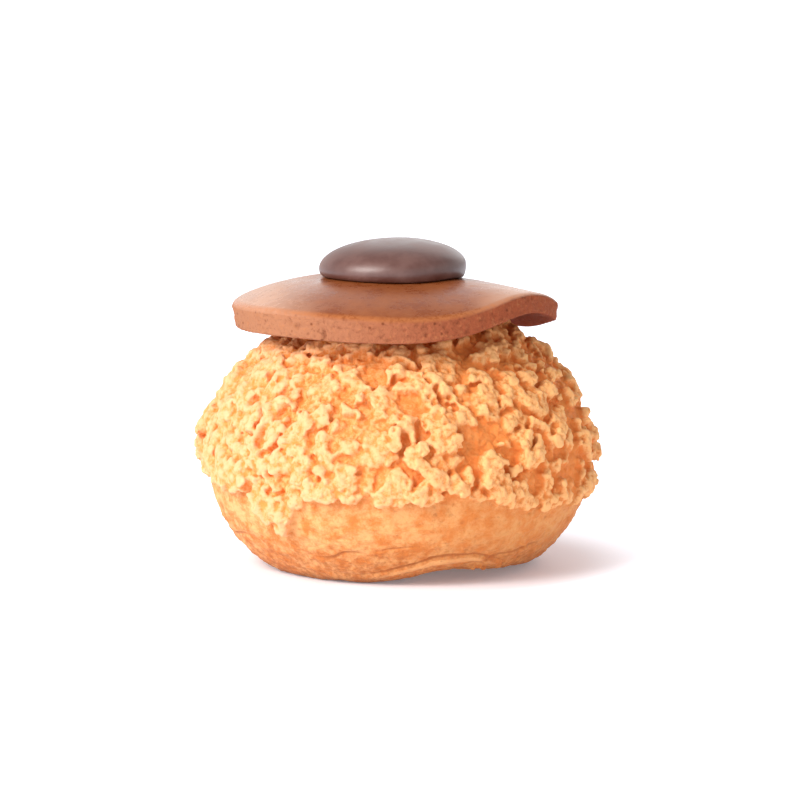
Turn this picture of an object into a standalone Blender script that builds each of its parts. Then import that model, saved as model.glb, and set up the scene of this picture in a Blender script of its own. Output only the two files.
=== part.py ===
"""Cream puff: a choux bun under a cracked craquelin crust, topped with a thin disc of milk chocolate paste
and one dark chocolate drop.

Metres, +Z up. The origin is the middle of the bun's flat underside, and the puff is seen from -Y.
Angles run anticlockwise seen from above: 0 is +X, the right-hand side, and 270 degrees is the front.
"""

import math

import bmesh
import bpy
from mathutils import Vector, noise

MM = 0.001

# Choux bun: halves of two ellipsoids that share their widest circle, the upper one tapering a little more
# than an ellipsoid does, the lower one cut flat.
BUN_RADIUS = 23.6 * MM
WIDEST_HEIGHT = 13.0 * MM
UPPER_HALF_HEIGHT = 19.4 * MM
UPPER_TAPER = 1.053
LOWER_HALF_HEIGHT = 17.6 * MM
BUN_OFFSET = 0.35 * MM
BUN_LEAN = 0.010
FOOT_FLAT_RADIUS = 11.0 * MM
FOOT_CURL_RADIUS = 19.5 * MM
FOOT_BEVEL = 0.15 * MM  # the flat middle of the foot stands this far below the underside round it
FOOT_SEGMENTS = 24
FOOT_ROUNDING = 0.5 * MM
FOOT_WAVES = (  # angle in degrees, half width in degrees, how far the foot curls up there at its curl radius
    (292, 24, 3.1 * MM),
    (340, 20, 1.5 * MM),
    (88, 30, 2.3 * MM),
    (150, 22, 1.1 * MM),
)
UNEVENNESS = 0.45 * MM
UNEVENNESS_SIZE = 14 * MM
SWELL_UPWARD = 0.4

# Craquelin: crumbs baked together into plates, with bare skin in the cracks between them.
CRUST_EDGE_HEIGHT = 11.6 * MM
CRUST_DRIPS = (  # angle in degrees, half width in degrees, how far the crust hangs down there
    (232, 8, 4.6 * MM),
    (322, 22, 2.4 * MM),
    (5, 20, 2.8 * MM),
    (62, 12, 2.0 * MM),
    (118, 16, 3.2 * MM),
    (180, 14, -1.2 * MM),
)
PLATE_SIZE = 3.9 * MM
PLATE_HEIGHT = 1.35 * MM
PLATE_SHOULDER = 0.75 * MM
LUMP_SIZE = 2.6 * MM
LUMP_HEIGHT = 0.45 * MM
RAGGEDNESS = 0.45 * MM
RAGGED_SIZE = 2.4 * MM
BEND = 1.3 * MM
BEND_SIZE = 5.0 * MM
BEND_SEED = 1795486484  # fixes the pattern that bends the plates' borders
CRACK_WIDTH_LEFT = 0.15 * MM
CRACK_WIDTH_RIGHT = 0.9 * MM
CRACK_WIDTH_CHANGE = 0.8 * MM
CRACK_REGION_SIZE = 5 * MM
JOINED_BAND = 3.2 * MM  # height over which the cracks close towards the crust's lower edge
JOINED_STRENGTH = 2.2
EDGE_RAGGEDNESS = 2.0

# Disc of milk chocolate paste, draped over the top of the bun.
DISC_RADIUS = 19.85 * MM
DISC_THICKNESS = 2.7 * MM
THICK_SIDE = math.radians(215)
THICKNESS_CHANGE = 0.55 * MM
DISC_UNDERSIDE_HEIGHT = 33.3 * MM
DISC_SAG = 3.2 * MM
DISC_SAG_POWER = 2.7
RIM_WAVES = (  # angle in degrees, half width in degrees, rise of the rim there
    (325, 25, 2.4 * MM),
    (272, 34, -0.35 * MM),
    (38, 24, -2.1 * MM),
    (185, 30, -0.45 * MM),
    (112, 28, 0.6 * MM),
)
RIM_WAVE_POWER = 2.6
EDGE_SPLAY = 0.35
DISC_SEGMENTS = 56
DISC_SECTION = (  # share of the radius, share of the thickness: from the top over the shoulder and back below
    (0.30, 1.0),
    (0.55, 1.0),
    (0.78, 1.0),
    (0.94, 1.0),
    (0.985, 0.95),
    (1.0, 0.83),
    (1.0, 0.0),
    (0.82, 0.0),
    (0.60, 0.0),
    (0.32, 0.0),
)

# Dark chocolate drop: a flat-bottomed lens, leaning a little to the left.
DROP_RADIUS = 9.1 * MM
DROP_HEIGHT = 4.05 * MM
DROP_EDGE_ROUNDING = 0.35 * MM
DROP_LEAN = math.radians(1.8)
DROP_OFFSET = -0.4 * MM
DROP_SEGMENTS = 40
DROP_RINGS = 8
EDGE_RINGS = 2

CONTACT_GAP = 0.3 * MM
PRESSED_MARGIN = 1 * MM
BUN_TRIANGLES = 11400
ICOSPHERE_LEVEL = 7


def turn_between(angle, centre):
    """Signed difference of two angles in degrees, from -180 to 180."""
    return (angle - centre + 180) % 360 - 180


def bumps(angle, waves):
    """Sum of the smooth bumps (centre, half width, height) at this angle in degrees."""
    return sum(height * math.exp(-((turn_between(angle, centre) / width) ** 2)) for centre, width, height in waves)


def angle_of(x, y):
    return math.degrees(math.atan2(y, x)) % 360


def wander(point, size, field):
    """Smooth noise from about -1 to 1 with bumps of this size; each field number gives a pattern of its own."""
    return noise.noise(point / size + field * Vector((7.3, 1.9, 4.1)))


# --- the bun's skin ---------------------------------------------------------------------------------------


def foot_height(x, y):
    """Height of the underside: flat on the table in the middle, curling up towards parts of the rim."""
    outside = max(0.0, math.hypot(x, y) - FOOT_FLAT_RADIUS) / (FOOT_CURL_RADIUS - FOOT_FLAT_RADIUS)
    return bumps(angle_of(x, y), FOOT_WAVES) * outside**2


def skin_point(direction):
    """The point of the bare bun that lies in this unit direction from the middle of its widest circle."""
    if direction.z > 0:
        spread = BUN_RADIUS * math.hypot(direction.x, direction.y) ** (UPPER_TAPER - 1)
        height = UPPER_HALF_HEIGHT * direction.z**UPPER_TAPER
    else:
        spread = BUN_RADIUS
        height = LOWER_HALF_HEIGHT * direction.z
    point = Vector((spread * direction.x, spread * direction.y, WIDEST_HEIGHT + height))
    swell = UNEVENNESS * wander(point, UNEVENNESS_SIZE, 1)
    point += swell * Vector((direction.x, direction.y, SWELL_UPWARD * direction.z))
    above_foot = point.z - foot_height(point.x, point.y)
    if above_foot < -FOOT_ROUNDING:
        above_foot = 0.0
    elif above_foot < FOOT_ROUNDING:
        above_foot = (above_foot + FOOT_ROUNDING) ** 2 / (4 * FOOT_ROUNDING)
    point.z = above_foot + foot_height(point.x, point.y)
    point.x += BUN_OFFSET + BUN_LEAN * point.z
    return point


def skin_normal(direction):
    """Outward normal of the bare bun in this direction, before its unevenness."""
    half_height = UPPER_HALF_HEIGHT if direction.z > 0 else LOWER_HALF_HEIGHT
    return Vector((direction.x / BUN_RADIUS, direction.y / BUN_RADIUS, direction.z / half_height)).normalized()


# --- the craquelin crust ----------------------------------------------------------------------------------


def crust_edge(x, y):
    """Height of the crust's lower edge, on the side of the bun where this point is."""
    return CRUST_EDGE_HEIGHT - bumps(angle_of(x, y), CRUST_DRIPS)


def crust_cover(point):
    """How far inside a plate this point of the skin is, in metres; below 0 in a crack or under the crust's edge."""
    bend = BEND * noise.noise_vector(point / BEND_SIZE)
    distances, _ = noise.voronoi((point + bend) / PLATE_SIZE)
    to_border = (distances[1] - distances[0]) * PLATE_SIZE / 2
    right_share = 0.5 + 0.5 * max(-1.0, min(1.0, point.x / BUN_RADIUS))
    crack = CRACK_WIDTH_LEFT + (CRACK_WIDTH_RIGHT - CRACK_WIDTH_LEFT) * right_share
    crack += CRACK_WIDTH_CHANGE * wander(point, CRACK_REGION_SIZE, 2)
    above_edge = point.z - crust_edge(point.x, point.y)
    crack *= 1 - JOINED_STRENGTH * max(0.0, 1 - above_edge / JOINED_BAND)
    ragged = RAGGEDNESS * wander(point, RAGGED_SIZE, 3)
    return min(to_border - crack / 2 + ragged, above_edge + EDGE_RAGGEDNESS * ragged)


def crust_height(point):
    """How far the crust stands out of the skin at this point: steep-sided plates with lumpy tops."""
    cover = crust_cover(point)
    if cover <= 0:
        return 0.0
    plate = min(1.0, cover / PLATE_SHOULDER)
    lumps = LUMP_HEIGHT * wander(point, LUMP_SIZE, 4)
    return (PLATE_HEIGHT + lumps) * math.sqrt(plate * (2 - plate))


def make_bun():
    """One closed solid: the skin with the crust's plates and cracks as relief, pressed flat under the disc."""
    shape = bmesh.new()
    bmesh.ops.create_icosphere(shape, subdivisions=ICOSPHERE_LEVEL, radius=1.0)
    for vertex in shape.verts:
        direction = vertex.co.normalized()
        point = skin_point(direction)
        point += skin_normal(direction) * crust_height(point)
        if math.hypot(point.x, point.y) < DISC_RADIUS + PRESSED_MARGIN:
            point.z = min(point.z, disc_underside(point.x, point.y) - CONTACT_GAP)
        vertex.co = point
    bun = object_of("bun", shape, material("crust", (0.80, 0.47, 0.17), 0.62))
    thin = bun.modifiers.new("fewer_faces", "DECIMATE")
    thin.ratio = BUN_TRIANGLES / len(bun.data.polygons)
    seen = bun.evaluated_get(bpy.context.evaluated_depsgraph_get())
    shape = bmesh.new()
    shape.from_mesh(seen.to_mesh())
    seen.to_mesh_clear()
    bun.modifiers.clear()
    flatten_foot(shape)
    shape.to_mesh(bun.data)
    shape.free()
    bun.data.shade_smooth()
    return bun


def flatten_foot(shape):
    """Cuts the solid off just above the floor and closes it with a bevel down to a flat round face at z = 0."""
    everything = shape.verts[:] + shape.edges[:] + shape.faces[:]
    level = Vector((0, 0, FOOT_BEVEL))
    bmesh.ops.bisect_plane(shape, geom=everything, plane_co=level, plane_no=(0, 0, 1), clear_inner=True)
    rim = [edge for edge in shape.edges if edge.is_boundary]
    turns = [2 * math.pi * i / FOOT_SEGMENTS for i in range(FOOT_SEGMENTS)]
    ring = [shape.verts.new((FOOT_FLAT_RADIUS * math.cos(t), FOOT_FLAT_RADIUS * math.sin(t), 0)) for t in turns]
    foot = shape.faces.new(ring[::-1])
    bmesh.ops.bridge_loops(shape, edges=rim + foot.edges[:])
    bmesh.ops.triangulate(shape, faces=shape.faces[:])
    bmesh.ops.recalc_face_normals(shape, faces=shape.faces[:])


# --- the disc ---------------------------------------------------------------------------------------------


def disc_underside(x, y):
    """Height of the disc's underside, which continues past its rim."""
    share = math.hypot(x, y) / DISC_RADIUS
    rim = bumps(angle_of(x, y), RIM_WAVES)
    return DISC_UNDERSIDE_HEIGHT - DISC_SAG * share**DISC_SAG_POWER + rim * share**RIM_WAVE_POWER


def disc_normal(x, y):
    step = 0.05 * MM
    slope_x = (disc_underside(x + step, y) - disc_underside(x - step, y)) / (2 * step)
    slope_y = (disc_underside(x, y + step) - disc_underside(x, y - step)) / (2 * step)
    return Vector((-slope_x, -slope_y, 1)).normalized()


def disc_point(turn, share, layer):
    """A point of the disc: share is 0 at its middle and 1 at its rim, layer 0 on its underside and 1 on top.
    The cut edge stays closer to upright than a line square to the draped surface."""
    x, y = DISC_RADIUS * share * math.cos(turn), DISC_RADIUS * share * math.sin(turn)
    thickness = DISC_THICKNESS + THICKNESS_CHANGE * share * math.cos(turn - THICK_SIDE)
    upward = Vector((0, 0, 1)).lerp(disc_normal(x, y), EDGE_SPLAY)
    return Vector((x, y, disc_underside(x, y))) + layer * thickness * upward


def make_disc():
    """A closed disc with a soft upper shoulder and a crisp lower edge."""
    turns = [2 * math.pi * i / DISC_SEGMENTS for i in range(DISC_SEGMENTS)]
    rings = [[disc_point(turn, share, layer) for turn in turns] for share, layer in DISC_SECTION]
    shape = ringed_solid(rings, disc_point(0, 0, 1), disc_point(0, 0, 0))
    return object_of("chocolate_disc", shape, material("milk_chocolate", (0.42, 0.17, 0.075), 0.5))


# --- the drop ---------------------------------------------------------------------------------------------


def make_drop():
    """A half ellipsoid with a rounded lower edge and a flat bottom, modelled about the middle of its bottom."""
    section = []
    for i in range(1, DROP_RINGS + 1):
        rise = math.radians(90 - 90 * i / DROP_RINGS)
        height = DROP_EDGE_ROUNDING + (DROP_HEIGHT - DROP_EDGE_ROUNDING) * math.sin(rise)
        section.append((DROP_RADIUS * math.cos(rise), height))
    for i in range(1, EDGE_RINGS + 1):
        fall = math.radians(90 * i / EDGE_RINGS)
        radius = DROP_RADIUS - DROP_EDGE_ROUNDING * (1 - math.cos(fall))
        section.append((radius, DROP_EDGE_ROUNDING * (1 - math.sin(fall))))
    turns = [2 * math.pi * i / DROP_SEGMENTS for i in range(DROP_SEGMENTS)]
    rings = [[Vector((r * math.cos(t), r * math.sin(t), z)) for t in turns] for r, z in section]
    shape = ringed_solid(rings, Vector((0, 0, DROP_HEIGHT)), Vector((0, 0, 0)))
    drop = object_of("chocolate_drop", shape, material("dark_chocolate", (0.075, 0.032, 0.025), 0.35))
    drop.rotation_euler = (0, -DROP_LEAN, 0)
    drop.location = (DROP_OFFSET, 0, resting_height())
    return drop


def resting_height():
    """Height of the middle of the leaning drop's bottom, its lower side just clear of the disc."""
    steps = 12
    radii = [DROP_RADIUS * i / steps for i in range(steps + 1)]
    reached = [disc_point(math.pi, r / DISC_RADIUS, 1).z + r * math.tan(DROP_LEAN) for r in radii]
    return max(reached) + CONTACT_GAP


# --- shared -----------------------------------------------------------------------------------------------


def ringed_solid(rings, top, bottom):
    """A closed mesh from a top point, rings of points from there down and round, and a bottom point."""
    shape = bmesh.new()
    top_vertex, bottom_vertex = shape.verts.new(top), shape.verts.new(bottom)
    loops = [[shape.verts.new(point) for point in ring] for ring in rings]
    count = len(rings[0])
    for i in range(count):
        j = (i + 1) % count
        shape.faces.new((top_vertex, loops[0][i], loops[0][j]))
        for upper, lower in zip(loops, loops[1:]):
            shape.faces.new((upper[i], lower[i], lower[j], upper[j]))
        shape.faces.new((bottom_vertex, loops[-1][j], loops[-1][i]))
    bmesh.ops.triangulate(shape, faces=shape.faces[:])
    return shape


def material(name, colour, roughness):
    made = bpy.data.materials.new(name)
    made.use_nodes = True
    shader = made.node_tree.nodes["Principled BSDF"]
    shader.inputs["Base Color"].default_value = (*colour, 1)
    shader.inputs["Roughness"].default_value = roughness
    shader.inputs["Metallic"].default_value = 0.0
    return made


def object_of(name, shape, finish):
    mesh = bpy.data.meshes.new(name)
    shape.to_mesh(mesh)
    shape.free()
    mesh.materials.append(finish)
    mesh.shade_smooth()
    made = bpy.data.objects.new(name, mesh)
    bpy.context.scene.collection.objects.link(made)
    return made


def main():
    for old in list(bpy.data.objects):
        bpy.data.objects.remove(old)
    noise.seed_set(BEND_SEED)
    make_bun()
    make_disc()
    make_drop()


main()
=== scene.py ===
"""Looks of the cream puff: choux skin under a crumbly craquelin crust, a disc of milk chocolate paste and a
dark chocolate drop.

Metres, +Z up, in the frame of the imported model. The puff stands on z = 0 and is seen from -Y. Angles run
anticlockwise seen from above: 0 is +X, the right-hand side, and 270 degrees is the front.
"""

import math
import random

import bmesh
import bpy
import numpy as np
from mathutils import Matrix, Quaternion, Vector, noise
from mathutils.kdtree import KDTree


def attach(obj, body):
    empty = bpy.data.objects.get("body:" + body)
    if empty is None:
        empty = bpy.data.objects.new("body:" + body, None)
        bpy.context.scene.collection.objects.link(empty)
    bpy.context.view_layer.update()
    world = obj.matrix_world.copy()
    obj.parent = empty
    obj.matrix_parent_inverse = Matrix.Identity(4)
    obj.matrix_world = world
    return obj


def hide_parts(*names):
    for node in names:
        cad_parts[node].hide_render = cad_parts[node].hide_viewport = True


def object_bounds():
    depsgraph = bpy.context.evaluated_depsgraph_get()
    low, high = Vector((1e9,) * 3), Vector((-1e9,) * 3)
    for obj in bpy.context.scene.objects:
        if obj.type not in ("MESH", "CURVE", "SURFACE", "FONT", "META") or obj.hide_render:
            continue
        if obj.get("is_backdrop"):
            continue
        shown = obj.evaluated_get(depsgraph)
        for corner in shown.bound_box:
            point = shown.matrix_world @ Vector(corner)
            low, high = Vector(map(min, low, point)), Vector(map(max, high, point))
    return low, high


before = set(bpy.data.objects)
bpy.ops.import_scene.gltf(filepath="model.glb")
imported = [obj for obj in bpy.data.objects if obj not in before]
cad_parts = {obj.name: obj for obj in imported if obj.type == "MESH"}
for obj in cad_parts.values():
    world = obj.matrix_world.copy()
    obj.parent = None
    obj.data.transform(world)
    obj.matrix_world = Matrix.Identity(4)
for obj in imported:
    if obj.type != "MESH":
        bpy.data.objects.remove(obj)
CAD_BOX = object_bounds()

MM = 0.001

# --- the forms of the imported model, from the same values --------------------------------------------------

BUN_RADIUS = 23.6 * MM
WIDEST_HEIGHT = 13.0 * MM
UPPER_HALF_HEIGHT = 19.4 * MM
UPPER_TAPER = 1.053
LOWER_HALF_HEIGHT = 17.6 * MM
BUN_OFFSET = 0.35 * MM
BUN_LEAN = 0.010
FOOT_FLAT_RADIUS = 11.0 * MM
FOOT_CURL_RADIUS = 19.5 * MM
FOOT_ROUNDING = 0.5 * MM
FOOT_WAVES = (  # angle in degrees, half width in degrees, how far the foot curls up there at its curl radius
    (292, 24, 3.1 * MM),
    (340, 20, 1.5 * MM),
    (88, 30, 2.3 * MM),
    (150, 22, 1.1 * MM),
)
UNEVENNESS = 0.45 * MM
UNEVENNESS_SIZE = 14 * MM
SWELL_UPWARD = 0.4

CRUST_EDGE_HEIGHT = 11.6 * MM
CRUST_DRIPS = (  # angle in degrees, half width in degrees, how far the crust hangs down there
    (232, 8, 4.6 * MM),
    (322, 22, 2.4 * MM),
    (5, 20, 2.8 * MM),
    (62, 12, 2.0 * MM),
    (118, 16, 3.2 * MM),
    (180, 14, -1.2 * MM),
)
PLATE_SIZE = 3.9 * MM
PLATE_HEIGHT = 1.35 * MM
PLATE_SHOULDER = 0.75 * MM
LUMP_SIZE = 2.6 * MM
LUMP_HEIGHT = 0.45 * MM
RAGGEDNESS = 0.45 * MM
RAGGED_SIZE = 2.4 * MM
BEND = 1.3 * MM
BEND_SIZE = 5.0 * MM
BEND_SEED = 1795486484  # fixes the pattern that bends the plates' borders
noise.seed_set(BEND_SEED)
CRACK_WIDTH_LEFT = 0.15 * MM
CRACK_WIDTH_RIGHT = 0.9 * MM
CRACK_WIDTH_CHANGE = 0.8 * MM
CRACK_REGION_SIZE = 5 * MM
JOINED_BAND = 3.2 * MM
JOINED_STRENGTH = 2.2
EDGE_RAGGEDNESS = 2.0

DISC_RADIUS = 19.85 * MM
DISC_THICKNESS = 2.7 * MM
THICK_SIDE = math.radians(215)
THICKNESS_CHANGE = 0.55 * MM
DISC_UNDERSIDE_HEIGHT = 33.3 * MM
DISC_SAG = 3.2 * MM
DISC_SAG_POWER = 2.7
RIM_WAVES = (  # angle in degrees, half width in degrees, rise of the rim there
    (325, 25, 2.4 * MM),
    (272, 34, -0.35 * MM),
    (38, 24, -2.1 * MM),
    (185, 30, -0.45 * MM),
    (112, 28, 0.6 * MM),
)
RIM_WAVE_POWER = 2.6
EDGE_SPLAY = 0.35

DROP_RADIUS = 9.1 * MM
DROP_HEIGHT = 4.05 * MM
DROP_LEAN = math.radians(1.8)
DROP_OFFSET = -0.4 * MM

CONTACT_GAP = 0.3 * MM
PRESSED_MARGIN = 1 * MM


def turn_between(angle, centre):
    """Signed difference of two angles in degrees, from -180 to 180."""
    return (angle - centre + 180) % 360 - 180


def bumps(angle, waves):
    """Sum of the smooth bumps (centre, half width, height) at this angle in degrees."""
    return sum(height * math.exp(-((turn_between(angle, centre) / width) ** 2)) for centre, width, height in waves)


def angle_of(x, y):
    return math.degrees(math.atan2(y, x)) % 360


def wander(point, size, field):
    """Smooth noise from about -1 to 1 with bumps of this size; each field number gives a pattern of its own."""
    return noise.noise(point / size + field * Vector((7.3, 1.9, 4.1)))


def two_wanders(point, size, field, fine_field, step=2, fine_share=0.6):
    """Smooth noise with some finer noise on it, whose bumps are smaller by this step."""
    return wander(point, size, field) + fine_share * wander(point, size / step, fine_field)


def foot_height(x, y):
    """Height of the underside: flat on the table in the middle, curling up towards parts of the rim."""
    outside = max(0.0, math.hypot(x, y) - FOOT_FLAT_RADIUS) / (FOOT_CURL_RADIUS - FOOT_FLAT_RADIUS)
    return bumps(angle_of(x, y), FOOT_WAVES) * outside**2


def skin_point(direction):
    """The point of the bare bun that lies in this unit direction from the middle of its widest circle."""
    if direction.z > 0:
        spread = BUN_RADIUS * math.hypot(direction.x, direction.y) ** (UPPER_TAPER - 1)
        height = UPPER_HALF_HEIGHT * direction.z**UPPER_TAPER
    else:
        spread = BUN_RADIUS
        height = LOWER_HALF_HEIGHT * direction.z
    point = Vector((spread * direction.x, spread * direction.y, WIDEST_HEIGHT + height))
    swell = UNEVENNESS * wander(point, UNEVENNESS_SIZE, 1)
    point += swell * Vector((direction.x, direction.y, SWELL_UPWARD * direction.z))
    lowest = foot_height(point.x, point.y)
    above_foot = point.z - lowest
    if above_foot < -FOOT_ROUNDING:
        above_foot = 0.0
    elif above_foot < FOOT_ROUNDING:
        above_foot = (above_foot + FOOT_ROUNDING) ** 2 / (4 * FOOT_ROUNDING)
    point.z = above_foot + lowest
    point.x += BUN_OFFSET + BUN_LEAN * point.z
    return point


def skin_normal(direction):
    """Outward normal of the bare bun in this direction, before its unevenness."""
    half_height = UPPER_HALF_HEIGHT if direction.z > 0 else LOWER_HALF_HEIGHT
    return Vector((direction.x / BUN_RADIUS, direction.y / BUN_RADIUS, direction.z / half_height)).normalized()


def direction_to(point):
    """The unit direction from the middle of the bun's widest circle in which skin_point reaches this point."""
    x, y = point.x - BUN_OFFSET - BUN_LEAN * point.z, point.y
    rise = point.z - WIDEST_HEIGHT
    if rise <= 0:
        return Vector((x / BUN_RADIUS, y / BUN_RADIUS, rise / LOWER_HALF_HEIGHT)).normalized()
    outward = max(math.hypot(x, y), 1e-9)
    spread = (outward / BUN_RADIUS) ** (1 / UPPER_TAPER) / outward
    return Vector((x * spread, y * spread, (rise / UPPER_HALF_HEIGHT) ** (1 / UPPER_TAPER))).normalized()


def crust_edge(x, y):
    """Height of the crust's lower edge, on the side of the bun where this point is."""
    return CRUST_EDGE_HEIGHT - bumps(angle_of(x, y), CRUST_DRIPS)


def right_share(point):
    """From 0 at the bun's far left to 1 at its far right."""
    return 0.5 + 0.5 * max(-1.0, min(1.0, point.x / BUN_RADIUS))


def crust_cover(point):
    """How far inside a plate this point of the skin is, in metres; below 0 in a crack or under the crust's edge."""
    bend = BEND * noise.noise_vector(point / BEND_SIZE)
    distances, _ = noise.voronoi((point + bend) / PLATE_SIZE)
    to_border = (distances[1] - distances[0]) * PLATE_SIZE / 2
    crack = CRACK_WIDTH_LEFT + (CRACK_WIDTH_RIGHT - CRACK_WIDTH_LEFT) * right_share(point)
    crack += CRACK_WIDTH_CHANGE * wander(point, CRACK_REGION_SIZE, 2)
    above_edge = point.z - crust_edge(point.x, point.y)
    crack *= 1 - JOINED_STRENGTH * max(0.0, 1 - above_edge / JOINED_BAND)
    ragged = RAGGEDNESS * wander(point, RAGGED_SIZE, 3)
    return min(to_border - crack / 2 + ragged, above_edge + EDGE_RAGGEDNESS * ragged)


def disc_underside(x, y):
    """Height of the disc's underside, which continues past its rim."""
    share = math.hypot(x, y) / DISC_RADIUS
    rim = bumps(angle_of(x, y), RIM_WAVES)
    return DISC_UNDERSIDE_HEIGHT - DISC_SAG * share**DISC_SAG_POWER + rim * share**RIM_WAVE_POWER


def disc_normal(x, y):
    step = 0.05 * MM
    slope_x = (disc_underside(x + step, y) - disc_underside(x - step, y)) / (2 * step)
    slope_y = (disc_underside(x, y + step) - disc_underside(x, y - step)) / (2 * step)
    return Vector((-slope_x, -slope_y, 1)).normalized()


def disc_point(turn, share, layer):
    """A point of the disc: share is 0 at its middle and 1 at its rim, layer 0 on its underside and 1 on top."""
    x, y = DISC_RADIUS * share * math.cos(turn), DISC_RADIUS * share * math.sin(turn)
    thickness = DISC_THICKNESS + THICKNESS_CHANGE * share * math.cos(turn - THICK_SIDE)
    upward = Vector((0, 0, 1)).lerp(disc_normal(x, y), EDGE_SPLAY)
    return Vector((x, y, disc_underside(x, y))) + layer * thickness * upward


# --- meshes -----------------------------------------------------------------------------------------------


def mesh_of(name, points, faces):
    """A mesh from an array of points and an array of faces that all have as many corners."""
    mesh = bpy.data.meshes.new(name)
    corners = faces.shape[1]
    mesh.vertices.add(len(points))
    mesh.vertices.foreach_set("co", np.asarray(points, np.float32).ravel())
    mesh.loops.add(faces.size)
    mesh.loops.foreach_set("vertex_index", faces.astype(np.int32).ravel())
    mesh.polygons.add(len(faces))
    mesh.polygons.foreach_set("loop_start", np.arange(0, faces.size, corners, dtype=np.int32))
    mesh.update(calc_edges=True)
    mesh.validate()
    return mesh


def points_of(mesh):
    points = np.empty(len(mesh.vertices) * 3, np.float32)
    mesh.vertices.foreach_get("co", points)
    return points.reshape(-1, 3).astype(float)


def object_of(name, mesh):
    made = bpy.data.objects.new(name, mesh)
    bpy.context.scene.collection.objects.link(made)
    return made


def with_modifier(mesh, kind, **settings):
    """The mesh as one modifier leaves it."""
    carrier = object_of("carrier", mesh)
    modifier = carrier.modifiers.new(kind, kind)
    for name, value in settings.items():
        setattr(modifier, name, value)
    seen = carrier.evaluated_get(bpy.context.evaluated_depsgraph_get())
    result = bpy.data.meshes.new_from_object(seen)
    bpy.data.objects.remove(carrier)
    return result


def give(mesh, name, values):
    """Stores one number for each vertex, for the materials."""
    layer = mesh.attributes.new(name, "FLOAT", "POINT")
    layer.data.foreach_set("value", np.asarray(values, np.float32))


def ringed_mesh(name, rows, turns):
    """A closed mesh of triangles. The rows hold rings of points from the top down and round to the bottom, this
    many in each, and after them one top point and one bottom point."""
    around = np.arange(turns)
    after = (around + 1) % turns
    rings = (len(rows) - 2) // turns
    top, bottom, last = rings * turns, rings * turns + 1, (rings - 1) * turns
    triangles = []
    for ring in range(rings - 1):
        upper, lower = ring * turns, (ring + 1) * turns
        triangles.append(np.stack([upper + around, lower + around, lower + after], axis=1))
        triangles.append(np.stack([upper + around, lower + after, upper + after], axis=1))
    triangles.append(np.stack([np.full(turns, top), around, after], axis=1))
    triangles.append(np.stack([np.full(turns, bottom), last + after, last + around], axis=1))
    return mesh_of(name, np.array([point[:] for point in rows]), np.concatenate(triangles))


def ball(subdivisions):
    """Points and faces of a unit icosphere."""
    shape = bmesh.new()
    bmesh.ops.create_icosphere(shape, subdivisions=subdivisions, radius=1.0)
    points = np.array([vertex.co[:] for vertex in shape.verts])
    faces = np.array([[vertex.index for vertex in face.verts] for face in shape.faces])
    shape.free()
    return points, faces


# --- the bun ----------------------------------------------------------------------------------------------

CORE_LEVEL = 8  # subdivisions of the icosphere that the core is made from
CORE_DROP = 0.20 * MM  # how far the core's plates stay below the crust's top, which the crumbs make up
CORE_EDGE = 0.06 * MM  # cover at the foot of a plate's steep side
CORE_SHOULDER = 0.34 * MM  # further cover up to the plate's full height
COVER_SPREAD_LEFT = 0.30 * MM
COVER_SPREAD_RIGHT = 0.16 * MM
CRACK_DEPTH_MOST = -0.36 * MM  # small low islands stand in the wider cracks
LOBE = 0.60 * MM
LOBE_SIZE = 1.25 * MM
PLATE_TOP = 0.60  # height of a plate at its rim and how much it gains inwards, both of PLATE_HEIGHT
PLATE_CROWN = 0.36
PLATE_LEVEL_CHANGE = 0.50 * MM
MORSEL_SPACING = 1.1 * MM
MORSEL_JITTER = 0.25  # of its spacing
MORSEL_RADIUS_LEAST = 0.40 * MM
MORSEL_RADIUS_MOST = 0.90 * MM
MORSEL_FLATNESS = 0.42
MORSEL_COVER_LEAST = 0.9  # of its radius
MORSEL_LEVEL_CHANGE = 0.25 * MM
MORSEL_STRETCH = (0.85, 1.2)
GRAIN_SPACING = 0.54 * MM
GRAIN_JITTER = 0.3
GRAIN_RADIUS_LEAST = 0.16 * MM
GRAIN_RADIUS_MOST = 0.34 * MM
GRAIN_STRETCH = (0.8, 1.25)
LEFT_GRAIN_GROWTH = 0.20
LEFT_GRAIN_LOSS = 0.60  # share of the grains that are missing at the far left
GRAIN_COVER_LEAST = 0.08 * MM
GRAIN_SINK = 0.56  # of its radius
GRAINS_BELOW_EDGE = 1 * MM  # how far below the crust's edge single grains still lie
LOOSE_GRAIN_SHARE = 0.30  # share of the grains that stay where no plate is
LOOSE_CRUMBS = (  # angle in degrees, height, radius of the crumbs stuck to the bare skin
    (300, 1.5 * MM, 0.45 * MM),
    (302, 1.9 * MM, 0.38 * MM),
    (305, 1.5 * MM, 0.42 * MM),
    (307, 2.2 * MM, 0.38 * MM),
    (311, 2.0 * MM, 0.45 * MM),
    (315, 5.0 * MM, 0.42 * MM),
    (318, 4.2 * MM, 0.38 * MM),
)
HIDDEN_RADIUS = 11 * MM  # under the disc, where no grain shows
VOXEL = 0.175 * MM
REMESH_SMOOTHING = 0.3
BARE_HEIGHT = 0.35 * MM  # what stands lower than this over the skin is still partly bare skin
BUN_TRIANGLES = 520000
CRUST_RAISED_LEAST = 0.2  # mean height, of PLATE_HEIGHT, from which a triangle belongs to the crust's pieces
CREVICE_STEPS = 60
GOLDEN_ANGLE = math.pi * (3 - math.sqrt(5))


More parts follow.
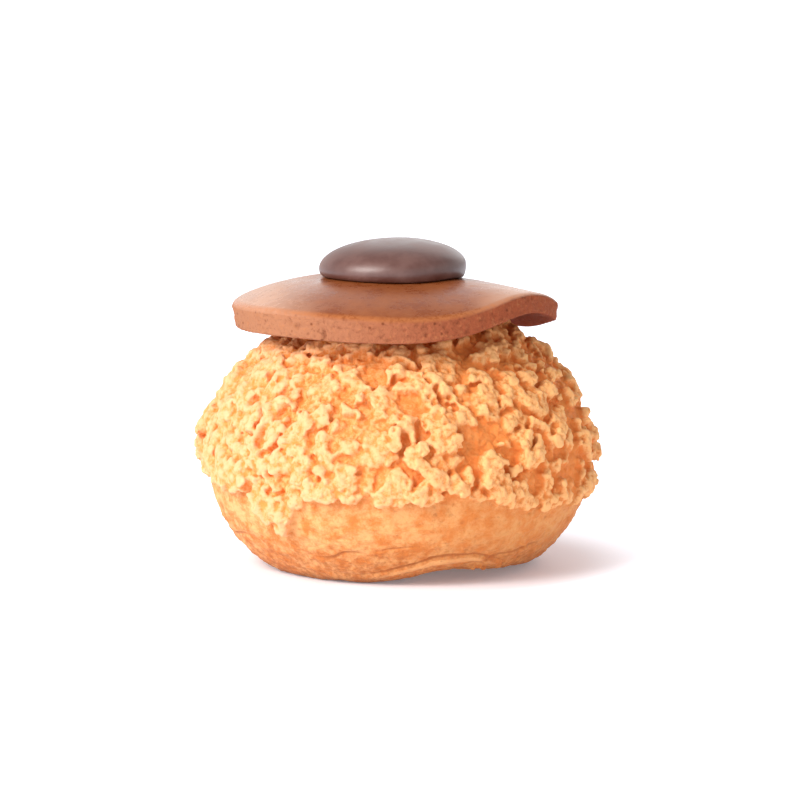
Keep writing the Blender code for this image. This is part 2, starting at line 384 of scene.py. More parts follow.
def even_directions(spacing, draw, jitter):
    """Unit directions spread evenly over the bun, about this far apart on its skin, each moved a little."""
    area = 4 * math.pi * BUN_RADIUS * (BUN_RADIUS + UPPER_HALF_HEIGHT) / 2
    count = int(area / spacing**2)
    for i in range(count):
        height = 1 - 2 * (i + 0.5) / count
        around = math.sqrt(1 - height * height)
        even = Vector((around * math.cos(i * GOLDEN_ANGLE), around * math.sin(i * GOLDEN_ANGLE), height))
        move = Vector((draw.gauss(0, 1), draw.gauss(0, 1), draw.gauss(0, 1)))
        yield (even + move * jitter * spacing / BUN_RADIUS).normalized()


LARGE_PLATES = (  # angle in degrees, height, radius: below 0 where the skin lies open
    (198, 27.2 * MM, 2.3 * MM),
    (233, 28.0 * MM, 2.1 * MM),
    (216, 19.6 * MM, 1.9 * MM),
    (221, 23.5 * MM, 1.8 * MM),
    (238, 17.9 * MM, 1.8 * MM),
    (243, 20.8 * MM, 2.0 * MM),
    (264, 17.7 * MM, 2.5 * MM),
    (268, 12.9 * MM, 2.4 * MM),
    (270, 25.7 * MM, 1.3 * MM),
    (275, 16.7 * MM, 1.6 * MM),
    (280, 14.9 * MM, 2.5 * MM),
    (283, 20.4 * MM, 2.2 * MM),
    (286, 25.8 * MM, 2.4 * MM),
    (299, 22.5 * MM, 2.1 * MM),
    (309, 17.9 * MM, 1.5 * MM),
    (312, 23.2 * MM, 1.6 * MM),
    (320, 21.3 * MM, 2.0 * MM),
    (250, 17.6 * MM, -0.9 * MM),
    (252, 23.5 * MM, -1.2 * MM),
    (260, 25.7 * MM, -2.2 * MM),
    (273, 22.2 * MM, -1.6 * MM),
    (275, 13.8 * MM, -0.8 * MM),
    (287, 14.9 * MM, -1.1 * MM),
    (293, 18.3 * MM, -1.9 * MM),
    (303, 27.9 * MM, -1.3 * MM),
)
MOAT = 0.4 * MM  # how far the large plates and open places reach past their radius
LARGE_PLATE_RAGGEDNESS = 0.9 * MM
LARGE_PLATE_RAGGED_SIZE = 2.2 * MM


def place_on_skin(angle, height):
    """The point of the skin at this angle in degrees and about this height."""
    rise = height - WIDEST_HEIGHT
    upward = (rise / UPPER_HALF_HEIGHT) ** (1 / UPPER_TAPER) if rise > 0 else rise / LOWER_HALF_HEIGHT
    around, turn = math.sqrt(1 - upward**2), math.radians(angle)
    return skin_point(Vector((around * math.cos(turn), around * math.sin(turn), upward)))


def place_under_foot(angle, radius):
    """The point of the underside at this angle in degrees and this far from the middle."""
    x, y = radius * math.cos(math.radians(angle)), radius * math.sin(math.radians(angle))
    return Vector((x, y, foot_height(x, y)))


def tree_of(points):
    tree = KDTree(len(points))
    for index, point in enumerate(points):
        tree.insert(point, index)
    tree.balance()
    return tree


PLATE_TREE = tree_of([place_on_skin(angle, height) for angle, height, _ in LARGE_PLATES])


def fine_cover(point):
    """The crust's cover with the plates that stand out, the places that lie open, and the small pointed lobes
    that single crumbs give the rims of the plates."""
    lobes = two_wanders(point, LOBE_SIZE, 10, 11)
    spread = COVER_SPREAD_LEFT + (COVER_SPREAD_RIGHT - COVER_SPREAD_LEFT) * right_share(point)
    cover = crust_cover(point)
    if point.z > crust_edge(point.x, point.y) + JOINED_BAND / 2:
        cover = max(cover, CRACK_DEPTH_MOST)
    _, index, away = PLATE_TREE.find(point)
    radius = LARGE_PLATES[index][2]
    inside = abs(radius) - away + LARGE_PLATE_RAGGEDNESS * wander(point, LARGE_PLATE_RAGGED_SIZE, 14)
    if inside > -MOAT:
        cover = inside if radius > 0 else min(cover, -inside)
    return cover + spread + LOBE * lobes


def crust_top(point, cover):
    """Height of the crust over the skin at this point, where its cover is this. Each plate has its own level."""
    inner = min(1.0, max(0.0, cover) / PLATE_SHOULDER)
    _, middles = noise.voronoi((point + BEND * noise.noise_vector(point / BEND_SIZE)) / PLATE_SIZE)
    level = PLATE_LEVEL_CHANGE * noise.cell(middles[0] * 8)
    return PLATE_HEIGHT * (PLATE_TOP + PLATE_CROWN * inner) + LUMP_HEIGHT * wander(point, LUMP_SIZE, 4) + level


def hidden(direction, skin):
    """Whether this point of the skin lies so far under the disc that no crumb shows there."""
    return direction.z > 0 and math.hypot(skin.x, skin.y) < HIDDEN_RADIUS


def crust_morsels():
    """The rounded morsels, 1 to 2 mm across, that the crust has broken into: middle, normal and radius of each."""
    draw = random.Random(5)
    morsels = []
    for direction in even_directions(MORSEL_SPACING, draw, MORSEL_JITTER):
        size, level = draw.random(), draw.random()
        skin = skin_point(direction)
        cover = fine_cover(skin)
        radius = MORSEL_RADIUS_LEAST + (MORSEL_RADIUS_MOST - MORSEL_RADIUS_LEAST) * size
        if cover < MORSEL_COVER_LEAST * radius or hidden(direction, skin):
            continue
        top = crust_top(skin, cover) + MORSEL_LEVEL_CHANGE * (level - 0.5)
        middle = skin + skin_normal(direction) * (top - MORSEL_FLATNESS * radius)
        morsels.append((middle, skin_normal(direction), radius))
    return morsels


def height_on(morsels, tree, skin, normal):
    """Height over this point of the skin of the highest morsel above it, or 0."""
    highest = 0.0
    for middle, index, _ in tree.find_range(skin + normal * PLATE_HEIGHT / 2, 1.5 * MORSEL_RADIUS_MOST):
        offset = middle - skin
        along = offset.dot(normal)
        aside = (offset - along * normal).length
        radius = morsels[index][2]
        if aside < radius:
            highest = max(highest, along + MORSEL_FLATNESS * math.sqrt(radius**2 - aside**2))
    return highest


def crust_crumbs():
    """Points and faces of the closed lumps that make up the crust: morsels, and the small grains all over them."""
    draw = random.Random(11)
    morsels = crust_morsels()
    tree = tree_of([middle for middle, _, _ in morsels])
    ball_points, ball_faces = ball(3)
    points, faces, count = [], [], 0
    for middle, normal, radius in morsels:
        turned = np.array(normal.to_track_quat("Z", "Y").to_matrix())
        stretch = (draw.uniform(*MORSEL_STRETCH), draw.uniform(*MORSEL_STRETCH), MORSEL_FLATNESS)
        faces.append(ball_faces + count)
        points.append((ball_points * stretch) @ turned.T * radius + np.array(middle))
        count += len(ball_points)
    ball_points, ball_faces = ball(2)
    for angle, height, radius in LOOSE_CRUMBS:
        faces.append(ball_faces + count)
        points.append(ball_points * radius + np.array(place_on_skin(angle, height)))
        count += len(ball_points)
    for direction in even_directions(GRAIN_SPACING, draw, GRAIN_JITTER):
        size, chance = draw.random(), draw.random()
        stretch = [draw.uniform(*GRAIN_STRETCH) for _ in range(3)]
        axis = Vector((draw.gauss(0, 1), draw.gauss(0, 1), draw.gauss(0, 1))).normalized()
        turned = np.array(Quaternion(axis, draw.uniform(0, math.tau)).to_matrix())
        skin = skin_point(direction)
        if hidden(direction, skin) or skin.z < crust_edge(skin.x, skin.y) - GRAINS_BELOW_EDGE:
            continue
        left_share = 1 - right_share(skin)
        if chance < LEFT_GRAIN_LOSS * left_share:
            continue
        cover = fine_cover(skin)
        if cover < GRAIN_COVER_LEAST and chance > LOOSE_GRAIN_SHARE:
            continue
        radius = GRAIN_RADIUS_LEAST + (GRAIN_RADIUS_MOST - GRAIN_RADIUS_LEAST) * size
        radius *= 1 + LEFT_GRAIN_GROWTH * left_share
        normal = skin_normal(direction)
        ground = max(height_on(morsels, tree, skin, normal), core_height(skin, cover))
        middle = skin + normal * (ground - GRAIN_SINK * radius)
        faces.append(ball_faces + count)
        points.append((ball_points * stretch) @ turned.T * radius + np.array(middle))
        count += len(ball_points)
    return np.concatenate(points), np.concatenate(faces)


def core_height(skin, cover):
    """Height of the core over this point of the skin, where the crust's cover is this."""
    plate = min(1.0, max(0.0, (cover - CORE_EDGE) / CORE_SHOULDER))
    if plate <= 0:
        return 0.0
    return (crust_top(skin, cover) - CORE_DROP) * math.sqrt(plate * (2 - plate))


def crust_core():
    """Points and faces of the closed bun under the grains: its skin with steep low plates."""
    directions, faces = ball(CORE_LEVEL)
    points = np.empty_like(directions)
    for i, direction in enumerate(map(Vector, directions)):
        skin = skin_point(direction)
        points[i] = skin + skin_normal(direction) * core_height(skin, fine_cover(skin))
    return points, faces


def largest_part(mesh):
    """Takes away the loose specks that the remesh leaves, and keeps the one large body."""
    shape = bmesh.new()
    shape.from_mesh(mesh)
    shape.verts.ensure_lookup_table()
    unseen, parts = set(shape.verts), []
    while unseen:
        start = unseen.pop()
        part, front = [start], [start]
        while front:
            for edge in front.pop().link_edges:
                for vertex in edge.verts:
                    if vertex in unseen:
                        unseen.remove(vertex)
                        part.append(vertex)
                        front.append(vertex)
        parts.append(part)
    parts.sort(key=len)
    for part in parts[:-1]:
        bmesh.ops.delete(shape, geom=part, context="VERTS")
    shape.to_mesh(mesh)
    shape.free()


# Relief of the bare skin.
CREASES = (  # angle in degrees where it starts and ends, height there, depth
    (238, 262, 3.4 * MM, 4.6 * MM, 0.20 * MM),
    (258, 282, 4.9 * MM, 5.6 * MM, 0.15 * MM),
    (296, 332, 2.9 * MM, 5.0 * MM, 0.22 * MM),
    (20, 72, 6.0 * MM, 4.4 * MM, 0.30 * MM),
    (96, 170, 4.6 * MM, 6.2 * MM, 0.30 * MM),
    (184, 214, 5.6 * MM, 4.8 * MM, 0.20 * MM),
)
CREASE_WIDTH = 0.20 * MM
CREASE_WOBBLE = 0.8 * MM
CREASE_WOBBLE_SIZE = 3.5 * MM
LIP_ANGLE = 284  # in degrees, where the lip stands out most
LIP_HALF_WIDTH = 26
LIP_LEAST = 0.15  # share of it that goes all the way round
LIP_REACH = 0.24 * MM
LIP_HEIGHT = 0.45 * MM
LIP_THICKNESS = 0.4 * MM
LIP_WOBBLE = 0.35  # of the creases' wobble
LIP_GROOVE = 0.26 * MM
LIP_GROOVE_HEIGHT = 1.10 * MM
WRINKLE = 0.16 * MM
WRINKLE_SIZE = 2.2 * MM
WRINKLE_FLATNESS = 2.4
PORE = 0.14 * MM
PORE_SIZE = 1.5 * MM
PORE_RADIUS = 0.28  # of its size
PORE_REGION_SIZE = 4 * MM


def pit(point, size, radius):
    """Share of its full depth that a small round pit has here. Pits lie about this size apart; the radius is a
    share of it."""
    distances, _ = noise.voronoi(point / size)
    return max(0.0, 1 - distances[0] / radius) ** 0.5


def skin_wrinkles(point):
    """How far the bare skin stands out at this point for its soft wrinkles, which lie mostly level."""
    flat = Vector((point.x, point.y, WRINKLE_FLATNESS * point.z))
    return WRINKLE * two_wanders(flat, WRINKLE_SIZE, 5, 6, step=3)


def skin_marks(point):
    """How far the bare skin stands out for its creases, its pores and the thin lip round its foot."""
    angle = angle_of(point.x, point.y)
    wobble = CREASE_WOBBLE * wander(point, CREASE_WOBBLE_SIZE, 7)
    above_foot = point.z - bumps(angle, FOOT_WAVES) + LIP_WOBBLE * wobble
    lip = LIP_LEAST + (1 - LIP_LEAST) * math.exp(-((turn_between(angle, LIP_ANGLE) / LIP_HALF_WIDTH) ** 2))
    relief = lip * LIP_REACH * math.exp(-(((above_foot - LIP_HEIGHT) / LIP_THICKNESS) ** 2))
    relief -= lip * LIP_GROOVE * math.exp(-(((above_foot - LIP_GROOVE_HEIGHT) / CREASE_WIDTH) ** 2))
    for start, end, start_height, end_height, depth in CREASES:
        along = (angle - start) % 360 / (end - start)
        if along < 1:
            height = start_height + (end_height - start_height) * along + wobble
            relief -= depth * math.sin(math.pi * along) * math.exp(-(((point.z - height) / CREASE_WIDTH) ** 2))
    if wander(point, PORE_REGION_SIZE, 8) > 0:
        relief -= PORE * pit(point, PORE_SIZE, PORE_RADIUS)
    return relief


SWELLINGS = (  # middle, half width and how far the bun swells out there
    (place_on_skin(181, 12.4 * MM), 1.3 * MM, -0.8 * MM),
    (place_on_skin(184, 16.2 * MM), 2.6 * MM, 0.5 * MM),
    (place_under_foot(286, 14.5 * MM), 3.2 * MM, -0.7 * MM),
    (place_under_foot(301, 14.5 * MM), 3.2 * MM, -0.9 * MM),
    (place_under_foot(316, 14.5 * MM), 3.2 * MM, -0.9 * MM),
    (place_under_foot(331, 14.5 * MM), 3.2 * MM, -0.7 * MM),
)
GRIT = 0.06 * MM
GRIT_SIZE = 0.45 * MM
CRUMB = 0.12 * MM
CRUMB_SIZE = 1.1 * MM
CRUMB_ROUNDING = 0.35  # width of a crumb's sloping rim, of its size
CRUMB_SINK = 0.6
CRACK_ROUGHNESS = 0.16 * MM
CRACK_ROUGHNESS_SIZE = 1.1 * MM
TOP_PIT = 0.25 * MM
TOP_PIT_SIZE = 1.3 * MM
TOP_PIT_RADIUS = 0.2
TOP_PIT_REGION_SIZE = 2.5 * MM
TOP_PIT_REGION_EDGE = 0.2


def swelling(point):
    """How far the bun swells out at this point, beyond its even shape."""
    amount = 0.0
    for middle, width, reach in SWELLINGS:
        amount += reach * math.exp(-((point - middle).length_squared / width**2))
    return amount


def crumb_relief(point):
    """Grit, angular crumbs and small open pits in the crust's tops."""
    distances, _ = noise.voronoi(point / CRUMB_SIZE)
    crumb = min(CRUMB_ROUNDING, distances[1] - distances[0]) / CRUMB_ROUNDING - CRUMB_SINK
    relief = GRIT * wander(point, GRIT_SIZE, 9) + CRUMB * crumb
    if wander(point, TOP_PIT_REGION_SIZE, 12) > TOP_PIT_REGION_EDGE:
        relief -= TOP_PIT * pit(point, TOP_PIT_SIZE, TOP_PIT_RADIUS)
    return relief


def crevices(mesh, heights):
    """How far each vertex stands over the mean height of its surroundings, in millimetres."""
    edges = np.empty(len(mesh.edges) * 2, np.int32)
    mesh.edges.foreach_get("vertices", edges)
    first, second = edges.reshape(-1, 2).T
    count = len(mesh.vertices)
    neighbours = np.bincount(first, minlength=count) + np.bincount(second, minlength=count)
    smooth = heights.copy()
    for _ in range(CREVICE_STEPS):
        total = np.bincount(first, smooth[second], count) + np.bincount(second, smooth[first], count)
        smooth = 0.5 * smooth + 0.5 * total / np.maximum(neighbours, 1)
    return (heights - smooth) / MM


def relieved_bun():
    """One closed mesh: crumbs and core melted together, then the fine relief of the skin and the crust."""
    core_points, core_faces = crust_core()
    crumb_points, crumb_faces = crust_crumbs()
    points = np.concatenate([core_points, crumb_points])
    faces = np.concatenate([core_faces, crumb_faces + len(core_points)])
    mesh = with_modifier(mesh_of("bun", points, faces), "REMESH", mode="VOXEL", voxel_size=VOXEL)
    largest_part(mesh)
    mesh = with_modifier(mesh, "SMOOTH", factor=REMESH_SMOOTHING, iterations=1)

    points = points_of(mesh)
    heights, over_edge, marks = np.empty(len(points)), np.empty(len(points)), np.empty(len(points))
    for i, point in enumerate(map(Vector, points)):
        direction = direction_to(point)
        normal = skin_normal(direction)
        skin = skin_point(direction)
        height = (point - skin).dot(normal)
        bare = max(0.0, min(1.0, 1 - height / BARE_HEIGHT))
        marks[i] = bare * skin_marks(skin)
        wrinkles = skin_wrinkles(skin)
        if skin.z > crust_edge(skin.x, skin.y):
            wrinkles += CRACK_ROUGHNESS * wander(skin, CRACK_ROUGHNESS_SIZE, 13)
            wrinkles += 2 * GRIT * wander(skin, GRIT_SIZE, 9)
        relief = marks[i] + bare * wrinkles + (1 - bare) * crumb_relief(point)
        point += normal * (relief + swelling(skin))
        if math.hypot(point.x, point.y) < DISC_RADIUS + PRESSED_MARGIN:
            point.z = min(point.z, disc_underside(point.x, point.y) - CONTACT_GAP)
        point.z = max(point.z, 0.0)
        points[i] = point
        heights[i] = height + relief
        over_edge[i] = skin.z - crust_edge(skin.x, skin.y)
    mesh.vertices.foreach_set("co", points.astype(np.float32).ravel())
    mesh.update()
    give(mesh, "raised", heights / PLATE_HEIGHT)
    give(mesh, "over_edge", over_edge / MM)
    give(mesh, "crevice", crevices(mesh, heights))
    give(mesh, "mark", marks / MM)
    share = min(1.0, BUN_TRIANGLES / (2 * len(mesh.polygons)))
    return with_modifier(mesh, "DECIMATE", ratio=share, use_collapse_triangulate=True)


def values_of(mesh, name):
    values = np.empty(len(mesh.vertices), np.float32)
    mesh.attributes[name].data.foreach_get("value", values)
    return values


def piece_of(name, mesh, faces, material):
    """A piece of the bun made of these triangles of the whole mesh."""
    used, faces = np.unique(faces, return_inverse=True)
    cut = mesh_of(name, points_of(mesh)[used], faces.reshape(-1, 3))
    for attribute in ("raised", "over_edge", "crevice", "mark"):
        give(cut, attribute, values_of(mesh, attribute)[used])
    cut.shade_smooth()
    cut.materials.append(material)
    piece = object_of(name, cut)
    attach(piece, "root")
    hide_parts("bun")


def make_bun():
    """The bun's skin and the two halves of its crust, cut from one mesh so that they meet exactly."""
    mesh = relieved_bun()
    faces = np.empty(len(mesh.polygons) * 3, np.int32)
    mesh.polygons.foreach_get("vertices", faces)
    faces = faces.reshape(-1, 3)
    crust = values_of(mesh, "raised")[faces].mean(axis=1) > CRUST_RAISED_LEAST
    front = points_of(mesh)[faces].mean(axis=1)[:, 1] < 0
    material = crust_material()
    piece_of("choux_skin", mesh, faces[~crust], material)
    piece_of("craquelin_front", mesh, faces[crust & front], material)
    piece_of("craquelin_back", mesh, faces[crust & ~front], material)


# --- the disc ---------------------------------------------------------------------------------------------

DISC_TURNS = 720
SHOULDER_START = 0.955
SHOULDER_LAYER = 0.86
TOP_UNEVENNESS = 0.07 * MM
SIDE_CRUMB = 0.12 * MM
SIDE_CRUMB_SIZE = 0.8 * MM
SIDE_PIT = 0.30 * MM
SIDE_PIT_SIZE = 1.5 * MM
SIDE_NICKS = (  # angle in degrees, share of the thickness, half width, half height in shares, depth
    (244.5, 0.25, 0.22 * MM, 0.25, 0.55 * MM),
    (233.5, 0.45, 0.35 * MM, 0.12, 0.40 * MM),
    (231.0, 0.60, 0.25 * MM, 0.10, 0.35 * MM),
    (268.0, 0.15, 0.50 * MM, 0.08, 0.35 * MM),
    (281.0, 0.35, 0.25 * MM, 0.10, 0.35 * MM),
    (296.0, 0.20, 0.40 * MM, 0.10, 0.30 * MM),
)


def side_nick(turn, layer):
    """Depth of the small chips and the short upright crack in the disc's cut side."""
    depth = 0.0
    for angle, middle, width, height, most in SIDE_NICKS:
        arc = DISC_RADIUS * math.radians(turn_between(math.degrees(turn), angle))
        depth += most * math.exp(-((arc / width) ** 2) - ((layer - middle) / height) ** 2)
    return depth


def evenly(first, last, count):
    return [first + (last - first) * i / (count - 1) for i in range(count)]


def disc_section():
    """The disc's outline from its middle, over the shoulder and down the cut side, back to the middle below: share
    of the radius, share of the thickness, how much it is shoulder and how much it is cut side."""
    section = [(share, 1.0, 0.0, 0.0) for share in evenly(0.02, SHOULDER_START, 34)[:-1]]
    for turn in evenly(0, math.pi / 2, 12):
        share = SHOULDER_START + (1 - SHOULDER_START) * math.sin(turn)
        layer = SHOULDER_LAYER + (1 - SHOULDER_LAYER) * math.cos(turn)
        section.append((share, layer, math.sin(2 * turn), max(0.0, turn / (math.pi / 2) * 2 - 1)))
    section += [(1.0, layer, 0.0, 1.0) for layer in evenly(SHOULDER_LAYER, 0.05, 16)[1:]]
    section += [(0.994, 0.0, 0.0, 1.0)]
    section += [(share, 0.0, 0.0, 1.0) for share in evenly(0.97, 0.03, 18)]
    return section


def make_disc():
    rows, shoulder, cut = [], [], []
    for share, layer, shoulder_share, cut_share in disc_section():
        for i in range(DISC_TURNS):
            turn = 2 * math.pi * i / DISC_TURNS
            point = disc_point(turn, share, layer)
            outward = Vector((math.cos(turn), math.sin(turn), 0))
            if layer > 0:
                point.z += TOP_UNEVENNESS * (wander(point, 6 * MM, 1) + 0.3 * wander(point, 1.2 * MM, 2)) * layer
            crumb = wander(point, SIDE_CRUMB_SIZE, 3) + 0.6 * wander(point, SIDE_CRUMB_SIZE / 2.2, 4)
            distances, _ = noise.voronoi(point / SIDE_PIT_SIZE)
            pit = max(0.0, 1 - distances[0] / 0.22)
            dent = SIDE_PIT * pit + (side_nick(turn, layer) if cut_share > 0 and share > 0.9 else 0.0)
            point += outward * cut_share * (SIDE_CRUMB * (crumb - 0.6) - dent)
            rows.append(point)
            shoulder.append(shoulder_share)
            cut.append(cut_share)
    rows += [disc_point(0, 0, 1), disc_point(0, 0, 0)]
    shoulder += [0.0, 0.0]
    cut += [0.0, 0.0]
    mesh = ringed_mesh("disc", rows, DISC_TURNS)
    give(mesh, "shoulder", shoulder)
    give(mesh, "cut", cut)
    mesh.shade_smooth()
    mesh.materials.append(milk_chocolate_material())
    disc = object_of("milk_chocolate_disc", mesh)
    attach(disc, "root")
    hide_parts("chocolate_disc")


# --- the drop ---------------------------------------------------------------------------------------------

DROP_TURNS = 160
DROP_RINGS = 44
DROP_EDGE_ROUNDING = 0.6 * MM
DROP_UNEVENNESS = 0.05 * MM
SETTLED_GAP = 0.12 * MM
SETTLED_HEIGHT = 1.1 * MM


def resting_height():
    """Height of the middle of the leaning drop's bottom, its lower side just clear of the disc."""
    steps = 12
    radii = [DROP_RADIUS * i / steps for i in range(steps + 1)]
    reached = [disc_point(math.pi, r / DISC_RADIUS, 1).z + r * math.tan(DROP_LEAN) for r in radii]
    return max(reached) + CONTACT_GAP


def settled(point, height):
    """A point of the drop, this high over its bottom, let down so that the soft bottom follows the disc."""
    share = math.hypot(point.x, point.y) / DISC_RADIUS
    top = disc_point(math.atan2(point.y, point.x), share, 1).z + SETTLED_GAP
    point.z -= max(0.0, 1 - height / SETTLED_HEIGHT) ** 2 * (point.z - height - top)
    return point


def make_drop():
    section = []
    for i in range(1, DROP_RINGS + 1):
        rise = math.radians(90 - 90 * i / DROP_RINGS)
        height = DROP_EDGE_ROUNDING + (DROP_HEIGHT - DROP_EDGE_ROUNDING) * math.sin(rise)
        section.append((DROP_RADIUS * math.cos(rise), height))
    for i in range(1, 9):
        fall = math.radians(90 * i / 8)
        radius = DROP_RADIUS - DROP_EDGE_ROUNDING * (1 - math.cos(fall))
        section.append((radius, DROP_EDGE_ROUNDING * (1 - math.sin(fall))))
    section += [(DROP_RADIUS * share, 0.0) for share in (0.8, 0.5, 0.2)]
    rows = []
    for radius, height in section:
        for i in range(DROP_TURNS):
            turn = 2 * math.pi * i / DROP_TURNS
            point = Vector((radius * math.cos(turn), radius * math.sin(turn), height))
            uneven = DROP_UNEVENNESS * wander(point, 5 * MM, 1)
            rows.append(point + uneven * point.normalized() * min(1.0, height / DROP_EDGE_ROUNDING))
    rows += [Vector((0, 0, DROP_HEIGHT)), Vector((0, 0, 0))]
    lean, place = Quaternion((0, -1, 0), DROP_LEAN), Vector((DROP_OFFSET, 0, resting_height()))
    rows = [settled(lean @ point + place, point.z) for point in rows]
    mesh = ringed_mesh("drop", rows, DROP_TURNS)
    mesh.shade_smooth()
    mesh.materials.append(dark_chocolate_material())
    drop = object_of("dark_chocolate_drop", mesh)
    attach(drop, "root")
    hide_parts("chocolate_drop")


# --- materials --------------------------------------------------------------------------------------------


class Surface:
    """Short calls that build one material's nodes."""

    def __init__(self, name, roughness, **settings):
        self.material = bpy.data.materials.new(name)
        self.material.use_nodes = True
        self.tree = self.material.node_tree
        self.shader = self.tree.nodes["Principled BSDF"]
        self.shader.inputs["Roughness"].default_value = roughness
        for socket, value in settings.items():
            self.shader.inputs[socket.replace("_", " ")].default_value = value
        self.place = self.node("ShaderNodeTexCoord").outputs["Object"]

    def node(self, kind, **settings):
        made = self.tree.nodes.new(kind)
        for name, value in settings.items():
            setattr(made, name, value)
        return made

    def link(self, source, socket):
        if isinstance(source, bpy.types.NodeSocket):
            self.tree.links.new(source, socket)
        else:
            socket.default_value = source

    def attribute(self, name):
        return self.node("ShaderNodeAttribute", attribute_name=name).outputs["Fac"]

    def noise(self, size, detail=2.0, roughness=0.5):
        made = self.node("ShaderNodeTexNoise")
        self.link(self.place, made.inputs["Vector"])
        made.inputs["Scale"].default_value = 1 / size
        made.inputs["Detail"].default_value = detail
        made.inputs["Roughness"].default_value = roughness
        return made.outputs["Fac"]

    def cells(self, size):
        made = self.node("ShaderNodeTexVoronoi")
        self.link(self.place, made.inputs["Vector"])
        made.inputs["Scale"].default_value = 1 / size
        return made.outputs["Distance"]

    def height(self):
        made = self.node("ShaderNodeSeparateXYZ")
        self.link(self.place, made.inputs[0])
        return made.outputs["Z"]

    def sideways(self):
        made = self.node("ShaderNodeSeparateXYZ")
        self.link(self.place, made.inputs[0])
        return made.outputs["X"]

    def span(self, source, low, high, to_low=0.0, to_high=1.0):
        """Maps low..high of the source to to_low..to_high, and holds the ends."""
        made = self.node("ShaderNodeMapRange", interpolation_type="SMOOTHSTEP")
        for socket, value in zip(made.inputs, (source, low, high, to_low, to_high)):
            self.link(value, socket)
        return made.outputs["Result"]

    def math(self, operation, first, second):
        made = self.node("ShaderNodeMath", operation=operation)
        self.link(first, made.inputs[0])
        self.link(second, made.inputs[1])
        return made.outputs[0]

    def mix(self, share, first, second):
        """Blends two colours, each a socket or (r, g, b), by a share from 0 to 1."""
        made = self.node("ShaderNodeMix", data_type="RGBA")
        colour_sockets = [socket for socket in made.inputs if socket.type == "RGBA"]
        self.link(share, made.inputs["Factor"])
        for colour, socket in zip((first, second), colour_sockets):
            self.link(colour if isinstance(colour, bpy.types.NodeSocket) else (*colour, 1), socket)
        return [socket for socket in made.outputs if socket.type == "RGBA"][0]

    def finish(self, colour, roughness=None, bump=None, bump_distance=0.1 * MM):
        self.link(colour, self.shader.inputs["Base Color"])
        if roughness is not None:
            self.link(roughness, self.shader.inputs["Roughness"])
        if bump is not None:
            made = self.node("ShaderNodeBump")
            made.inputs["Distance"].default_value = bump_distance
            self.link(bump, made.inputs["Height"])
            self.link(made.outputs["Normal"], self.shader.inputs["Normal"])
        return self.material


CRUST_PALE = (0.85, 0.44, 0.220)
CRUST_TAN = (0.83, 0.43, 0.165)
CRUST_GOLD = (0.80, 0.27, 0.060)
CRUST_BROWN = (0.66, 0.22, 0.050)
CREVICE_ORANGE = (0.72, 0.19, 0.025)
OPEN_PALE = (0.85, 0.42, 0.160)
OPEN_TAN = (0.70, 0.225, 0.050)
CRACK_GOLD = (0.76, 0.23, 0.040)
CRACK_ORANGE = (0.72, 0.21, 0.042)
CRACK_BROWN = (0.56, 0.15, 0.030)
SKIN_PALE = (0.80, 0.41, 0.165)
SKIN_GOLD = (0.68, 0.30, 0.095)
SKIN_ORANGE = (0.62, 0.19, 0.038)
SKIN_BROWN = (0.40, 0.115, 0.028)
SKIN_BOTTOM_BROWN = (0.22, 0.065, 0.024)


